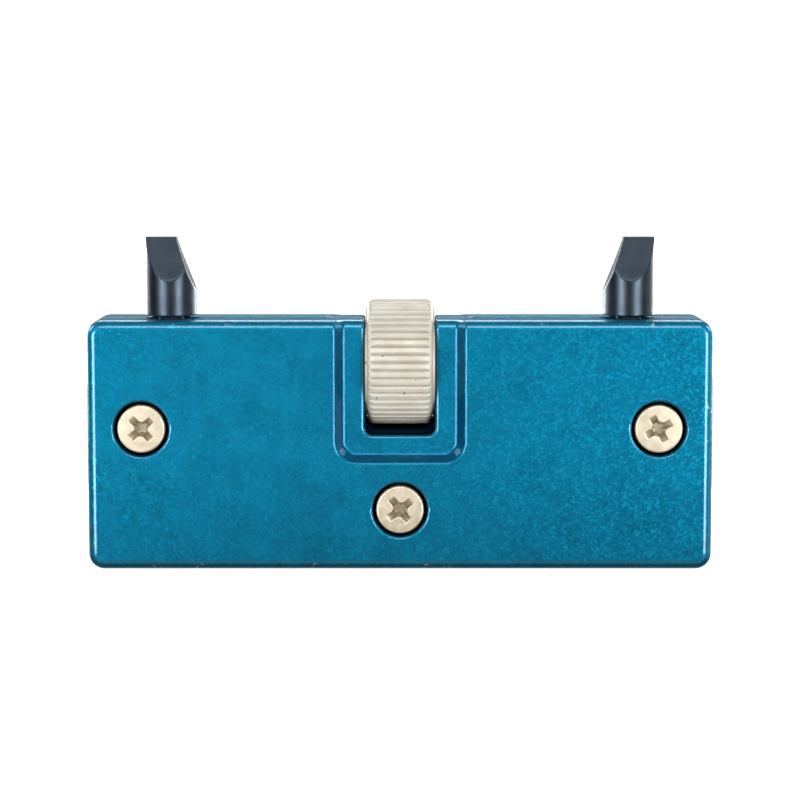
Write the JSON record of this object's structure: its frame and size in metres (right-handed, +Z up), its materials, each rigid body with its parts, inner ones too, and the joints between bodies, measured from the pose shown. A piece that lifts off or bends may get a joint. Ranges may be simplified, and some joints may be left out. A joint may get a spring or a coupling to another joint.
{
  "type": "watch case back opener",
  "caption": "Hand tool that unscrews slotted watch case backs: two chisel feet on a twin-thread spindle, moved together or apart by a knurled thumb wheel in a flat painted housing.",
  "frame": {"origin": "centre of the housing's long lower face, which is the bottom centre of the whole object's box", "axes": "+Z up, towards the feet; +X along the housing, towards the foot on the spindle's right-hand thread; -Y is the side with the screws"},
  "size_m": [0.06, 0.012, 0.0318],
  "materials": {
    "housing_paint": "glossy metallic blue paint over die-cast zinc alloy",
    "screw_nickel": "nickel-plated steel, warm tone",
    "wheel_nickel": "nickel-plated steel, straight knurl",
    "spindle_steel": "turned bright steel",
    "bush_brass": "turned brass",
    "foot_steel": "hardened and blackened steel, polished"
  },
  "bodies": {
    "housing": {"front_shell": "housing_paint", "back_shell": "housing_paint", "left_screw": "screw_nickel", "right_screw": "screw_nickel", "lower_screw": "screw_nickel", "left_bush": "bush_brass", "right_bush": "bush_brass"},
    "wheel_and_spindle": {"thumb_wheel": "wheel_nickel", "spindle": "spindle_steel"},
    "left_jaw": {"left_foot": "foot_steel"},
    "right_jaw": {"right_foot": "foot_steel"}
  },
  "joints": [
    {"name": "wheel_turn", "type": "hinge", "parent": "housing", "child": "wheel_and_spindle", "pos_m": [0, 0, 0.0197], "axis": [1, 0, 0], "range_deg": [-360, 7200]},
    {"name": "left_jaw_slide", "type": "slide", "parent": "housing", "child": "left_jaw", "axis": [1, 0, 0], "range_m": [-0.0007, 0.014]},
    {"name": "right_jaw_slide", "type": "slide", "parent": "housing", "child": "right_jaw", "axis": [1, 0, 0], "range_m": [-0.014, 0.0007]}
  ],
  "couplings": [
    {"joint": "left_jaw_slide", "follows": "wheel_turn", "m_per_rad": 0.00011141},
    {"joint": "right_jaw_slide", "follows": "wheel_turn", "m_per_rad": -0.00011141}
  ]
}
